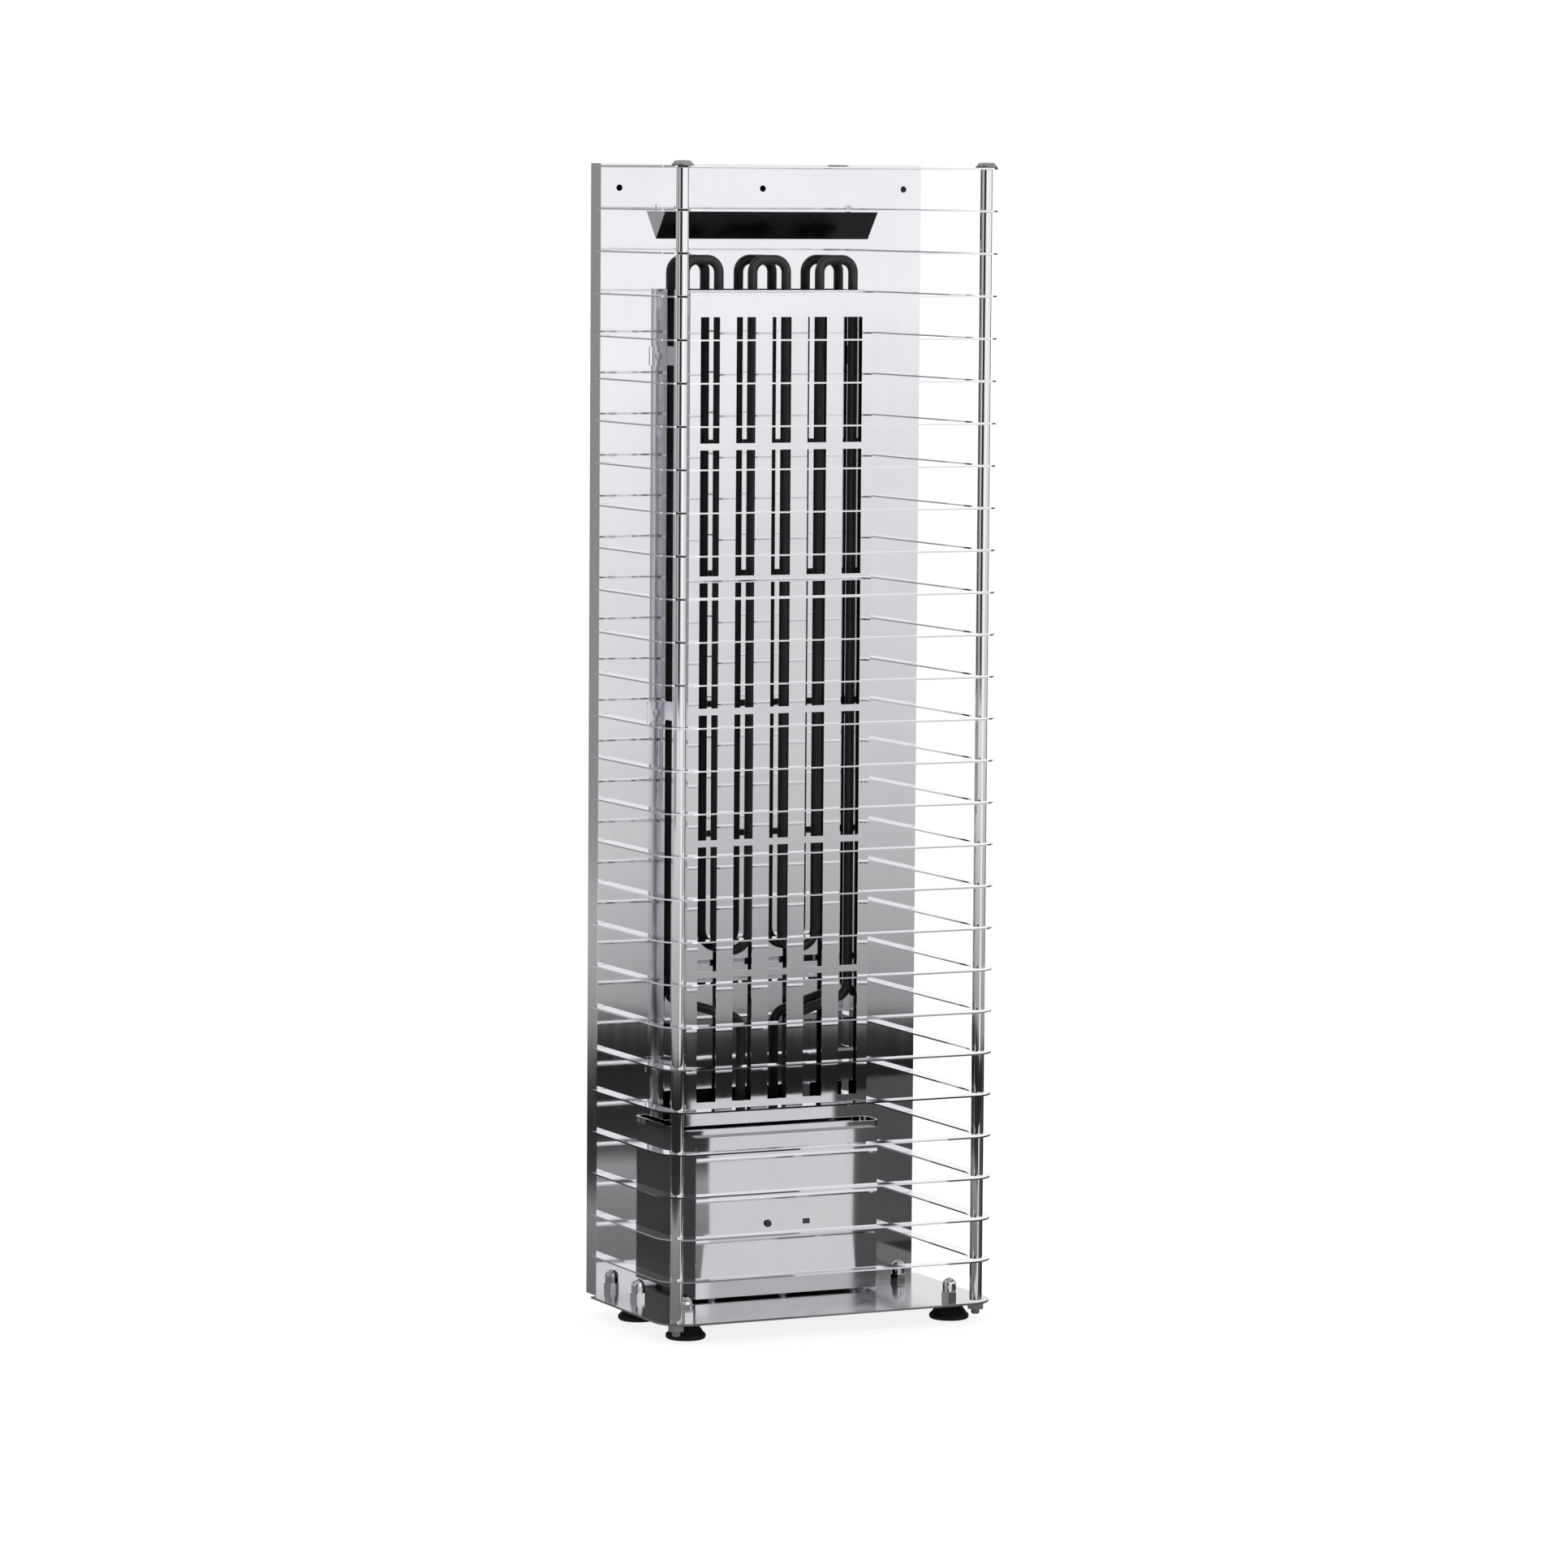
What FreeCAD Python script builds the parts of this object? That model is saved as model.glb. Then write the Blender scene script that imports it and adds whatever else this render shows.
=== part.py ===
import FreeCAD, Part
import os
import re
import Sketcher

# Wall-standing tower heater: a cage of flat polished hoops threaded on two front posts,
# in front of a rear casing that carries the heating elements, their guard and the connection box.
# Millimetres.  X to the right, Y to the back (towards the wall), Z up, origin on the floor
# in the middle of the footprint.

os.makedirs("parts", exist_ok=True)
doc = FreeCAD.newDocument("tower_heater")

DIMS = {
    # overall
    "half_width": 174.5,
    "front_y": -100.5,
    "panel_y": 77.0,
    "back_y": 100.5,
    # base plate, hoops and posts
    "plate_top": 20.0,
    "plate_thick": 2.0,
    "hoop_pitch": 40.0,
    "hoop_thick": 1.5,
    "strip_width": 15.0,
    "corner_radius": 30.0,
    "post_inset": 17.0,
    "rod_radius": 4.0,
    "tube_radius": 6.0,
    "tube_bore": 4.5,
    "rod_hole": 4.3,
    "cap_radius": 10.5,
    "cap_flange": 2.0,
    "cap_crown": 3.0,
    "tab_width": 6.0,
    "tab_length": 1.3,
    # rear casing and polished panel
    "panel_half": 169.0,
    "panel_thick": 1.5,
    "panel_top": 1102.0,
    "sheet": 1.2,
    "lip_width": 11.0,
    "wall_hole_z": 1079.0,
    "wall_hole_x": 150.0,
    "wall_hole_radius": 2.75,
    # element guard
    "guard_half": 96.0,
    "guard_depth": 45.0,
    "guard_gap": 8.0,
    "guard_bottom": 179.4,
    "guard_top": 983.0,
    "slot_width": 20.0,
    "slot_pitch": 37.5,
    "slot_length": 119.6,
    "slot_row_pitch": 126.0,
    "slot_bottom": 208.0,
    "ear_height": 18.0,
    "ear_width": 22.0,
    "ear_screw_x": 109.0,
    # heating element
    "leg_pitch": 35.5,
    "element_radius": 4.7,
    "element_gap": 16.0,
    "element_top": 999.4,
    "top_bend": 12.0,
    "lower_bend_z": 367.5,
    "end_bend_z": 313.5,
    "end_bend": 15.0,
    "end_slope": 17.0,
    "terminal_x": 25.0,
    "leg_end": 150.0,
    # deflector
    "deflector_half": 112.0,
    "deflector_out": 21.5,
    "deflector_rise": 26.0,
    "deflector_bottom": 1031.0,
    "deflector_flange": 1064.0,
    # connection box, cover and tray
    "chest_half": 96.0,
    "chest_front": 8.5,
    "chest_bottom": 24.0,
    "chest_top": 178.0,
    "chest_roof": 1.5,
    "cover_flange": 17.0,
    "cover_gap": 0.2,
    "tray_half": 103.0,
    "tray_front": 16.0,
    "tray_lip": 5.5,
    "tray_corner": 8.0,
    "feature_x": 20.5,
    "feature_z": 91.5,
    "lens_width": 6.4,
    "lens_height": 5.0,
    "cover_screw_x": 75.0,
    "cover_screw_y": 16.0,
    # cable gland
    "gland_x": 120.0,
    "gland_y": 89.5,
    # levelling feet
    "foot_x": 139.0,
    "foot_front_y": -64.0,
    "foot_rear_y": 46.0,
    "pad_radius": 19.0,
    "pad_height": 14.0,
    "stud_radius": 4.0,
}

HOOPS = 27
SLOT_COLUMNS = 5
SLOT_ROWS = 6
SIDES = (("left", -1), ("right", 1))
POST_X = "(half_width - post_inset)"
POST_Y = "front_y + post_inset"
kept_parts = []

sheet = doc.addObject("Spreadsheet::Sheet", "dims")
for row, (alias, value) in enumerate(DIMS.items(), start=1):
    sheet.set("A%d" % row, alias)
    sheet.set("B%d" % row, str(value))
    sheet.setAlias("B%d" % row, alias)
doc.recompute()


def ref(expr):
    """Expression text with every dimension name pointed at the sheet."""
    def swap(match):
        word = match.group()
        return "dims." + word if word in DIMS else word
    return re.sub(r"[a-z_]+", swap, str(expr))


def bind(obj, **exprs):
    for name, expr in exprs.items():
        obj.setExpression(name, ref(expr))


def place(obj, x, y, z, axis=None, angle=0.0):
    if axis:
        obj.Placement = FreeCAD.Placement(
            FreeCAD.Vector(0, 0, 0), FreeCAD.Rotation(FreeCAD.Vector(*axis), angle))
    obj.setExpression("Placement.Base.x", ref(x))
    obj.setExpression("Placement.Base.y", ref(y))
    obj.setExpression("Placement.Base.z", ref(z))
    return obj


def block(name, x0, x1, y0, y1, z0, z1):
    """Box between two corners, each side given as an expression."""
    obj = doc.addObject("Part::Box", name)
    bind(obj, Length="(%s) - (%s)" % (x1, x0), Width="(%s) - (%s)" % (y1, y0),
         Height="(%s) - (%s)" % (z1, z0))
    return place(obj, x0, y0, z0)


def rod(name, radius, x, y, z0, z1):
    """Upright cylinder."""
    obj = doc.addObject("Part::Cylinder", name)
    bind(obj, Radius=radius, Height="(%s) - (%s)" % (z1, z0))
    return place(obj, x, y, z0)


def pin_back(name, radius, x, z, y0, y1):
    """Cylinder running from y0 to y1."""
    obj = doc.addObject("Part::Cylinder", name)
    bind(obj, Radius=radius, Height="(%s) - (%s)" % (y1, y0))
    return place(obj, x, y0, z, (1, 0, 0), -90)


def hexagon(name, across_flats, x, y, z0, z1):
    obj = doc.addObject("Part::Prism", name)
    obj.Polygon = 6
    bind(obj, Circumradius="(%s) / 1.7320508" % across_flats, Height="(%s) - (%s)" % (z1, z0))
    return place(obj, x, y, z0)


def fuse(name, *parts):
    obj = doc.addObject("Part::MultiFuse", name)
    obj.Shapes = list(parts)
    obj.Refine = True
    return obj


def group(name, parts):
    """Separate solids kept side by side in one named piece."""
    obj = doc.addObject("Part::Compound", name)
    obj.Links = list(parts)
    return obj


def cut(name, base, *tools):
    obj = doc.addObject("Part::Cut", name)
    obj.Base = base
    obj.Tool = tools[0] if len(tools) == 1 else group(name + "_tools", tools)
    return obj


def upright_edges(shape, spots):
    """Numbers of the vertical edges standing on the given (x, y) spots."""
    found = []
    for number, edge in enumerate(shape.Edges, start=1):
        ends = [v.Point for v in edge.Vertexes]
        if len(ends) != 2 or (ends[0] - ends[1]).z == 0 or abs(ends[0].x - ends[1].x) > 0.01:
            continue
        for x, y in spots:
            if abs(ends[0].x - x) < 0.01 and abs(ends[0].y - y) < 0.01:
                found.append(number)
    return found


def rounded(name, base, spots, radius):
    """Fillet on the vertical edges of a box at the given spots."""
    base.recompute()
    obj = doc.addObject("Part::Fillet", name)
    obj.Base = base
    obj.Edges = [(number, radius, radius) for number in upright_edges(base.Shape, spots)]
    return obj


def origin_plane(body, role):
    return [f for f in body.Origin.OriginFeatures if f.Role == role][0]


def polygon(body, name, plane, corners):
    """Closed sketch whose corners are each held by two dimensions from the origin."""
    sketch = body.newObject("Sketcher::SketchObject", name)
    sketch.AttachmentSupport = [(origin_plane(body, plane), "")]
    sketch.MapMode = "FlatFace"
    spots = [(float(sheet_value(u)), float(sheet_value(v))) for u, v in corners]
    count = len(spots)
    for k in range(count):
        a = FreeCAD.Vector(spots[k][0], spots[k][1], 0)
        b = FreeCAD.Vector(spots[(k + 1) % count][0], spots[(k + 1) % count][1], 0)
        sketch.addGeometry(Part.LineSegment(a, b), False)
    for k in range(count):
        sketch.addConstraint(Sketcher.Constraint("Coincident", k, 2, (k + 1) % count, 1))
    for k, (u, v) in enumerate(corners):
        number = sketch.addConstraint(Sketcher.Constraint("DistanceX", -1, 1, k, 1, spots[k][0]))
        sketch.setExpression("Constraints[%d]" % number, ref(u))
        number = sketch.addConstraint(Sketcher.Constraint("DistanceY", -1, 1, k, 1, spots[k][1]))
        sketch.setExpression("Constraints[%d]" % number, ref(v))
    return sketch


def sheet_value(expr):
    """Present value of an expression written in dimension names."""
    text = ref(expr)
    return sheet.evalExpression(text.replace("dims.", ""))


def top(level):
    """Height of the top face of one hoop."""
    return "plate_top + %d * hoop_pitch" % level


def keep(obj):
    obj.Label = obj.Name
    kept_parts.append(obj)
    return obj


# ---------------------------------------------------------------- rear casing and panel
shell = block("casing_shell", "-panel_half", "panel_half", "panel_y + panel_thick", "back_y",
              "plate_top", "panel_top")
cavity = block("casing_cavity", "-panel_half + sheet", "panel_half - sheet",
               "panel_y + panel_thick + sheet", "back_y - sheet",
               "plate_top + sheet", "panel_top - sheet")
mouth = block("casing_mouth", "-panel_half + lip_width", "panel_half - lip_width",
              "panel_y + panel_thick - 1", "panel_y + panel_thick + 2 * sheet",
              "plate_top + lip_width", "panel_top - lip_width")
casing_holes = [cavity, mouth]
panel_holes = []
for number, factor in enumerate((-1, 0, 1)):
    x = "%d * wall_hole_x" % factor
    casing_holes.append(pin_back("casing_wall_hole_%d" % number, "wall_hole_radius", x,
                                 "wall_hole_z", "back_y - 3 * sheet", "back_y + 1"))
    panel_holes.append(pin_back("panel_wall_hole_%d" % number, "wall_hole_radius + 0.35", x,
                                "wall_hole_z", "panel_y - 1", "panel_y + 3"))
casing_holes.append(rod("casing_gland_hole", "8.2", "gland_x", "gland_y",
                        "plate_top - 1", "plate_top + 2 * sheet"))
keep(cut("rear_casing", shell, *casing_holes))

face = block("panel_face", "-panel_half", "panel_half", "panel_y", "panel_y + panel_thick",
             "plate_top", "panel_top")
for level in range(1, HOOPS + 1):
    for side, sign in SIDES:
        centre = "%d * (panel_half - tab_width)" % sign
        panel_holes.append(block(
            "panel_slot_%s_%02d" % (side, level),
            "%s - tab_width / 2 - 0.2" % centre, "%s + tab_width / 2 + 0.2" % centre,
            "panel_y - 1", "panel_y + panel_thick + 1",
            "%s - hoop_thick - 0.2" % top(level), "%s + 0.2" % top(level)))

EAR_LEVELS = ("guard_bottom + 60", "(guard_bottom + guard_top) / 2", "guard_top - 63")
for number, level in enumerate(EAR_LEVELS):
    for side, sign in SIDES:
        panel_holes.append(pin_back("panel_ear_hole_%s_%d" % (side, number), "2.1",
                                    "%d * ear_screw_x" % sign, level, "panel_y - 1", "panel_y + 3"))
for side, sign in SIDES:
    panel_holes.append(pin_back("panel_deflector_hole_%s" % side, "2.1", "%d * 90" % sign,
                                "deflector_flange - 4", "panel_y - 1", "panel_y + 3"))
keep(cut("back_panel", face, *panel_holes))

# ---------------------------------------------------------------- base plate
sheet_box = block("plate_outline", "-half_width", "half_width", "front_y", "panel_y",
                  "plate_top - plate_thick", "plate_top")
CORNERS = [(-DIMS["half_width"], DIMS["front_y"]), (DIMS["half_width"], DIMS["front_y"])]
plate_round = rounded("plate_round", sheet_box, CORNERS, DIMS["corner_radius"])
tongue = block("plate_tongue", "-80", "80", "panel_y - 2", "back_y - 2",
               "plate_top - plate_thick", "plate_top")
plate_blank = fuse("plate_blank", plate_round, tongue)
FEET = []
for end in ("front", "rear"):
    for side, sign in SIDES:
        FEET.append(("%s_%s" % (end, side), "%d * foot_x" % sign, "foot_%s_y" % end))
plate_holes = []
for side, sign in SIDES:
    plate_holes.append(rod("plate_post_hole_" + side, "rod_hole", "%d * %s" % (sign, POST_X),
                           POST_Y, "0", "plate_top + 1"))
for name, x, y in FEET:
    plate_holes.append(rod("plate_foot_hole_" + name, "stud_radius + 0.5", x, y,
                           "0", "plate_top + 1"))
for number, factor in enumerate((-1, 0, 1)):
    plate_holes.append(rod("plate_access_hole_%d" % number, "4.5",
                           "%d * cover_screw_x" % factor, "cover_screw_y", "0", "plate_top + 1"))
keep(cut("base_plate", plate_blank, *plate_holes))

# ---------------------------------------------------------------- hoops
INNER = [(sign * (DIMS["half_width"] - DIMS["strip_width"]),
          DIMS["front_y"] + DIMS["strip_width"]) for sign in (-1, 1)]
post_holes = [rod("hoop_post_hole_" + side, "rod_hole", "%d * %s" % (sign, POST_X), POST_Y,
                  "0", "panel_top + 1") for side, sign in SIDES]
inside = block("hoop_inside", "-half_width + strip_width", "half_width - strip_width",
               "front_y + strip_width", "panel_y + 1", "0", "panel_top + 1")
inside_round = rounded("hoop_inside_round", inside, INNER, DIMS["corner_radius"])
hoop_removed = group("hoop_removed", [inside_round] + post_holes)
for level in range(1, HOOPS + 1):
    name = "hoop_%02d" % level
    under = "%s - hoop_thick" % top(level)
    blank = block(name + "_blank", "-half_width", "half_width", "front_y", "panel_y",
                  under, top(level))
    round_blank = rounded(name + "_round", blank, CORNERS, DIMS["corner_radius"])
    tabs = []
    for side, sign in SIDES:
        centre = "%d * (panel_half - tab_width)" % sign
        tabs.append(block("%s_tab_%s" % (name, side), "%s - tab_width / 2" % centre,
                          "%s + tab_width / 2" % centre, "panel_y - 1", "panel_y + tab_length",
                          under, top(level)))
    flat = cut(name + "_flat", round_blank, hoop_removed)
    keep(fuse(name, flat, *tabs))

# ---------------------------------------------------------------- posts
rods = []
caps = []
nuts = []
tube_outer = []
tube_inner = []
TOP_HOOP = top(HOOPS)
for side, sign in SIDES:
    x = "%d * %s" % (sign, POST_X)
    rods.append(rod("rod_" + side, "rod_radius", x, POST_Y, "6.5", "%s + 2.2" % TOP_HOOP))
    tube_outer.append(rod("tube_outer_" + side, "tube_radius", x, POST_Y, "plate_top",
                          "%s - hoop_thick" % TOP_HOOP))
    tube_inner.append(rod("tube_inner_" + side, "tube_bore", x, POST_Y, "plate_top - 1",
                          "%s + 1" % TOP_HOOP))
    flange = rod("cap_flange_" + side, "cap_radius", x, POST_Y, TOP_HOOP,
                 "%s + cap_flange" % TOP_HOOP)
    crown = doc.addObject("Part::Cone", "cap_crown_" + side)
    bind(crown, Radius1="cap_radius - 1.3", Radius2="cap_radius - 3.5", Height="cap_crown")
    place(crown, x, POST_Y, "%s + cap_flange" % TOP_HOOP)
    cap_bore = rod("cap_bore_" + side, "rod_radius + 0.2", x, POST_Y, "%s - 1" % TOP_HOOP,
                   "%s + 2.6" % TOP_HOOP)
    caps.append(cut("cap_" + side, fuse("cap_solid_" + side, flange, crown), cap_bore))
    collar = rod("nut_collar_" + side, "8.4", x, POST_Y, "plate_top - plate_thick - 1.6",
                 "plate_top - plate_thick")
    wrench = hexagon("nut_hex_" + side, "14.5", x, POST_Y, "plate_top - plate_thick - 6.5",
                     "plate_top - plate_thick - 1")
    nut_bore = rod("nut_bore_" + side, "rod_radius + 0.2", x, POST_Y, "0", "plate_top")
    nuts.append(cut("nut_" + side, fuse("nut_solid_" + side, collar, wrench), nut_bore))
keep(group("post_rods", rods))
keep(group("post_cap_nuts", caps))
keep(group("post_bottom_nuts", nuts))
gaps = [block("tube_gap_%02d" % level, "-half_width", "half_width", "front_y", "front_y + 40",
              "%s - hoop_thick" % top(level), top(level)) for level in range(1, HOOPS)]
keep(cut("spacer_tubes", group("tube_stack", tube_outer), *(tube_inner + gaps)))

# ---------------------------------------------------------------- element guard
GUARD_FRONT = "(panel_y - guard_depth)"
channel = block("guard_channel", "-guard_half", "guard_half", GUARD_FRONT,
                "panel_y - guard_gap", "guard_bottom", "guard_top")
hollow = block("guard_hollow", "-guard_half + sheet", "guard_half - sheet",
               "%s + sheet" % GUARD_FRONT, "panel_y", "0", "panel_top")
slots = []
for column in range(SLOT_COLUMNS):
    for row in range(SLOT_ROWS):
        x = "%g * slot_pitch" % (column - (SLOT_COLUMNS - 1) / 2)
        z = "slot_bottom + %d * slot_row_pitch" % row
        slots.append(block("guard_slot_%d_%d" % (column, row), "%s - slot_width / 2" % x,
                           "%s + slot_width / 2" % x, "%s - 1" % GUARD_FRONT,
                           "%s + 3" % GUARD_FRONT, z, "%s + slot_length" % z))
guard_parts = [cut("guard_slotted", channel, hollow, *slots)]
guard_parts.append(block("guard_top_fold", "-guard_half + sheet", "guard_half - sheet",
                         GUARD_FRONT, "%s + 8" % GUARD_FRONT, "guard_top - sheet", "guard_top"))
ear_holes = []
guard_screws = []
for number, level in enumerate(EAR_LEVELS):
    low = "%s - ear_height / 2" % level
    high = "%s + ear_height / 2" % level
    for side, sign in SIDES:
        inner = "guard_half - sheet" if sign > 0 else "-guard_half"
        outer = "guard_half" if sign > 0 else "-guard_half + sheet"
        tag = "%s_%d" % (side, number)
        guard_parts.append(block("ear_bridge_" + tag, inner, outer, "panel_y - guard_gap - 1",
                                 "panel_y", low, high))
        edges = sorted(["%d * guard_half" % sign, "%d * (guard_half + ear_width)" % sign],
                       key=sheet_value)
        guard_parts.append(block("ear_foot_" + tag, edges[0], edges[1], "panel_y - sheet",
                                 "panel_y", low, high))
        x = "%d * ear_screw_x" % sign
        ear_holes.append(pin_back("ear_hole_" + tag, "2.2", x, level, "panel_y - 3",
                                  "panel_y + 1"))
        head = pin_back("ear_head_" + tag, "3.8", x, level, "panel_y - sheet - 2.2",
                        "panel_y - sheet")
        shank = pin_back("ear_shank_" + tag, "1.9", x, level, "panel_y - sheet - 1",
                         "panel_y + 9")
        guard_screws.append(fuse("guard_screw_" + tag, head, shank))
keep(cut("element_guard", fuse("guard_sheet", *guard_parts), *ear_holes))
keep(group("guard_screws", guard_screws))

# ---------------------------------------------------------------- deflector
body = doc.addObject("PartDesign::Body", "deflector")
SLANT = "sqrt(deflector_out * deflector_out + deflector_rise * deflector_rise)"
SHELF = "(deflector_bottom + deflector_rise)"
profile = polygon(body, "deflector_profile", "YZ_Plane", [
    ("panel_y", "deflector_bottom"), ("panel_y", "deflector_flange"),
    ("panel_y - sheet", "deflector_flange"), ("panel_y - sheet", SHELF),
    ("panel_y - deflector_out", SHELF)])
doc.recompute()
pad = body.newObject("PartDesign::Pad", "deflector_pad")
pad.Profile = profile
pad.Midplane = True
pad.setExpression("Length", ref("2 * deflector_half"))
doc.recompute()
trough = polygon(body, "deflector_trough", "YZ_Plane", [
    ("panel_y - sheet",
     "deflector_bottom + sheet * (deflector_rise + %s) / deflector_out" % SLANT),
    ("panel_y - sheet", "%s + 1" % SHELF),
    ("panel_y - deflector_out + (sheet * %s - deflector_out) / deflector_rise" % SLANT,
     "%s + 1" % SHELF)])
pocket = body.newObject("PartDesign::Pocket", "deflector_pocket")
pocket.Profile = trough
pocket.Midplane = True
pocket.setExpression("Length", ref("2 * (deflector_half - sheet)"))
doc.recompute()
holes = body.newObject("Sketcher::SketchObject", "deflector_holes")
holes.AttachmentSupport = [(origin_plane(body, "XZ_Plane"), "")]
holes.MapMode = "FlatFace"
for side, sign in SIDES:
    index = holes.addGeometry(Part.Circle(
        FreeCAD.Vector(sign * 90, DIMS["deflector_flange"] - 4, 0), FreeCAD.Vector(0, 0, 1), 2.2))
    holes.addConstraint(Sketcher.Constraint("Radius", index, 2.2))
    holes.addConstraint(Sketcher.Constraint("DistanceX", -1, 1, index, 3, sign * 90))
    number = holes.addConstraint(Sketcher.Constraint(
        "DistanceY", -1, 1, index, 3, DIMS["deflector_flange"] - 4))
    holes.setExpression("Constraints[%d]" % number, ref("deflector_flange - 4"))
bore = body.newObject("PartDesign::Pocket", "deflector_bore")
bore.Profile = holes
bore.Midplane = True
bore.setExpression("Length", ref("2 * panel_y + 10"))
body.Tip = bore
keep(body)
screws = []
for side, sign in SIDES:
    x = "%d * 90" % sign
    z = "deflector_flange - 4"
    head = pin_back("deflector_head_" + side, "3.6", x, z, "panel_y - sheet - 2.2",
                    "panel_y - sheet")
    shank = pin_back("deflector_shank_" + side, "1.9", x, z, "panel_y - sheet - 1", "panel_y + 9")
    screws.append(fuse("deflector_screw_" + side, head, shank))
keep(group("deflector_screws", screws))

# ---------------------------------------------------------------- heating element
# One tube wound up and down six times, its two ends brought together over the connection box.
ELEMENT_Y = "(panel_y - element_gap)"
OUTER_LEG = "2.5 * leg_pitch"
BEND_IN = "end_bend * (1 - sin(end_slope * 1deg))"
BEND_DROP = "end_bend * cos(end_slope * 1deg)"
RUN = "(%s - terminal_x - 2 * %s)" % (OUTER_LEG, BEND_IN)
RUN_LOW_Z = "(end_bend_z - %s - %s * tan(end_slope * 1deg))" % (BEND_DROP, RUN)


def bend(name, radius, x, z, start, sweep):
    """Part of a ring of tube standing in the element's plane, from one angle up to another."""
    obj = doc.addObject("Part::Torus", name)
    bind(obj, Radius1=radius, Radius2="element_radius")
    obj.Angle3 = sweep
    upright = FreeCAD.Rotation(FreeCAD.Vector(1, 0, 0), 90)
    turned = FreeCAD.Rotation(FreeCAD.Vector(0, 0, 1), start)
    obj.Placement = FreeCAD.Placement(FreeCAD.Vector(0, 0, 0), upright.multiply(turned))
    return place(obj, x, ELEMENT_Y, z)


def leg(name, x, z0, z1):
    return rod(name, "element_radius", x, ELEMENT_Y, z0, z1)


pieces = []
for number, factor in enumerate((-2, 0, 2)):
    centre = "%d * leg_pitch" % factor
    reach = "(leg_pitch / 2 - top_bend)"
    for side, sign in SIDES:
        pieces.append(bend("top_bend_%s_%d" % (side, number), "top_bend",
                           "%s + %d * %s" % (centre, sign, reach), "element_top",
                           0 if sign > 0 else 90, 90))
    crest = doc.addObject("Part::Cylinder", "crest_%d" % number)
    bind(crest, Radius="element_radius", Height="2 * %s" % reach)
    pieces.append(place(crest, "%s - %s" % (centre, reach), ELEMENT_Y,
                        "element_top + top_bend", (0, 1, 0), 90))
for number, factor in enumerate((-1, 1)):
    pieces.append(bend("low_bend_%d" % number, "leg_pitch / 2", "%d * leg_pitch" % factor,
                       "lower_bend_z", 180, 180))
for number, factor in enumerate((-1.5, -0.5, 0.5, 1.5)):
    pieces.append(leg("inner_leg_%d" % number, "%g * leg_pitch" % factor, "lower_bend_z",
                      "element_top"))
STEEP = 90 - DIMS["end_slope"]
bushings = []
tray_holes = []
roof_holes = []
for side, sign in SIDES:
    end = "%d * terminal_x" % sign
    pieces.append(leg("outer_leg_" + side, "%d * %s" % (sign, OUTER_LEG), "end_bend_z",
                      "element_top"))
    pieces.append(bend("shoulder_" + side, "end_bend", "%d * (%s - end_bend)" % (sign, OUTER_LEG),
                       "end_bend_z", -STEEP if sign > 0 else 180, STEEP))
    slope = doc.addObject("Part::Cylinder", "slope_" + side)
    bind(slope, Radius="element_radius", Height="%s / cos(end_slope * 1deg)" % RUN)
    place(slope, "%d * (terminal_x + %s)" % (sign, BEND_IN), ELEMENT_Y, RUN_LOW_Z, (0, 1, 0),
          sign * STEEP)
    pieces.append(slope)
    pieces.append(bend("elbow_" + side, "end_bend", "%d * (terminal_x + end_bend)" % sign,
                       "%s - %s" % (RUN_LOW_Z, BEND_DROP), 180 - STEEP if sign > 0 else 0, STEEP))
    pieces.append(leg("tail_" + side, end, "leg_end", "%s - %s" % (RUN_LOW_Z, BEND_DROP)))
    pieces.append(rod("pin_" + side, "2", end, ELEMENT_Y, "leg_end - 14", "leg_end"))
    hexa = hexagon("bushing_hex_" + side, "17", end, ELEMENT_Y, "chest_top + sheet",
                   "chest_top + sheet + 6")
    barrel = rod("bushing_barrel_" + side, "6.5", end, ELEMENT_Y, "chest_top - 12",
                 "chest_top + sheet + 1")
    lock = hexagon("bushing_lock_" + side, "17", end, ELEMENT_Y, "chest_top - chest_roof - 4",
                   "chest_top - chest_roof")
    through = rod("bushing_bore_" + side, "element_radius + 0.1", end, ELEMENT_Y,
                  "chest_top - 20", "chest_top + 20")
    bushings.append(cut("bushing_" + side, fuse("bushing_solid_" + side, hexa, barrel, lock),
                        through))
    tray_holes.append(rod("tray_hole_" + side, "6.7", end, ELEMENT_Y, "chest_top - 1",
                          "chest_top + 4"))
    roof_holes.append(rod("roof_hole_" + side, "6.7", end, ELEMENT_Y, "chest_top - 4",
                          "chest_top + 1"))
element = fuse("heating_element", *pieces)
element.Refine = False
keep(element)
keep(group("element_bushings", bushings))

# ---------------------------------------------------------------- tray, box and cover
tray_blank = block("tray_blank", "-tray_half", "tray_half", "tray_front", "panel_y",
                   "chest_top", "chest_top + tray_lip")
tray_round = rounded("tray_round", tray_blank,
                     [(s * DIMS["tray_half"], DIMS["tray_front"]) for s in (-1, 1)],
                     DIMS["tray_corner"])
tray_inside = block("tray_inside", "-tray_half + sheet", "tray_half - sheet",
                    "tray_front + sheet", "panel_y + 1", "chest_top + sheet", "chest_top + 20")
tray_inside_round = rounded(
    "tray_inside_round", tray_inside,
    [(s * (DIMS["tray_half"] - DIMS["sheet"]), DIMS["tray_front"] + DIMS["sheet"])
     for s in (-1, 1)], DIMS["tray_corner"] - DIMS["sheet"])
keep(cut("stone_tray", tray_round, tray_inside_round, *tray_holes))

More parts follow.
